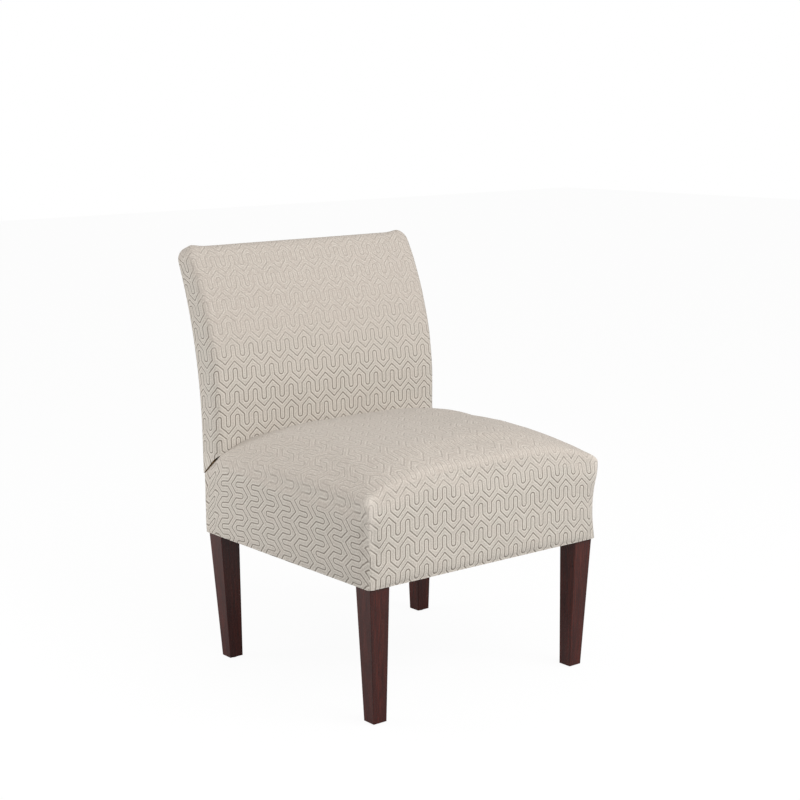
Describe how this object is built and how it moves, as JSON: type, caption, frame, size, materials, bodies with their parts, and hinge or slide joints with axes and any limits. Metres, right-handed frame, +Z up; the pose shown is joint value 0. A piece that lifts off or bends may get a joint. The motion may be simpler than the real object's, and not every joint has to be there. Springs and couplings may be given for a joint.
{
  "type": "slipper chair",
  "caption": "Armless upholstered slipper chair with a low crowned seat, a swept back and tapered dark wood legs",
  "frame": {"origin": "on the floor under the middle of the chair's overall box", "axes": "+Z up, -Y the way a sitter faces, +X to the right seen from the front"},
  "size_m": [0.56, 0.6282, 0.8375],
  "materials": {
    "upholstery_fabric": "woven jacquard with a soft velvet sheen, warm greige",
    "foam": "open-cell polyurethane foam",
    "wadding": "polyester wadding",
    "decking_cloth": "plain cotton cloth",
    "dust_cloth": "black non-woven cloth",
    "webbing": "woven jute webbing",
    "liner_card": "pressed card",
    "leg_wood": "dark mahogany stain under gloss lacquer",
    "glide_plastic": "black nylon",
    "zinc_steel": "zinc plated",
    "frame_wood": "planed hardwood"
  },
  "bodies": {
    "root": {"back_batting": "wadding", "back_cover_inside": "upholstery_fabric", "back_cover_outside": "upholstery_fabric", "back_foam": "foam", "back_liner": "liner_card", "back_rail_crest": "frame_wood", "back_rail_lower": "frame_wood", "back_rail_middle": "frame_wood", "back_stile_left": "frame_wood", "back_stile_right": "frame_wood", "back_webbing_1": "webbing", "back_webbing_2": "webbing", "back_webbing_3": "webbing", "back_webbing_4": "webbing", "corner_block_front_left": "frame_wood", "corner_block_front_right": "frame_wood", "corner_block_rear_left": "frame_wood", "corner_block_rear_right": "frame_wood", "dust_cover": "dust_cloth", "joining_plate_left": "zinc_steel", "joining_plate_right": "zinc_steel", "ledge_batting": "wadding", "leg_bolts": "zinc_steel", "leg_front_left": "leg_wood", "leg_front_right": "leg_wood", "leg_glides": "glide_plastic", "leg_nuts": "zinc_steel", "leg_rear_left": "leg_wood", "leg_rear_right": "leg_wood", "plate_screws": "zinc_steel", "rail_front": "frame_wood", "rail_left": "frame_wood", "rail_rear": "frame_wood", "rail_right": "frame_wood", "seat_batting": "wadding", "seat_cover": "upholstery_fabric", "seat_decking": "decking_cloth", "seat_foam": "foam", "seat_webbing_cross_1": "webbing", "seat_webbing_cross_2": "webbing", "seat_webbing_cross_3": "webbing", "seat_webbing_cross_4": "webbing", "seat_webbing_long_1": "webbing", "seat_webbing_long_2": "webbing", "seat_webbing_long_3": "webbing", "seat_webbing_long_4": "webbing"}
  },
  "joints": []
}
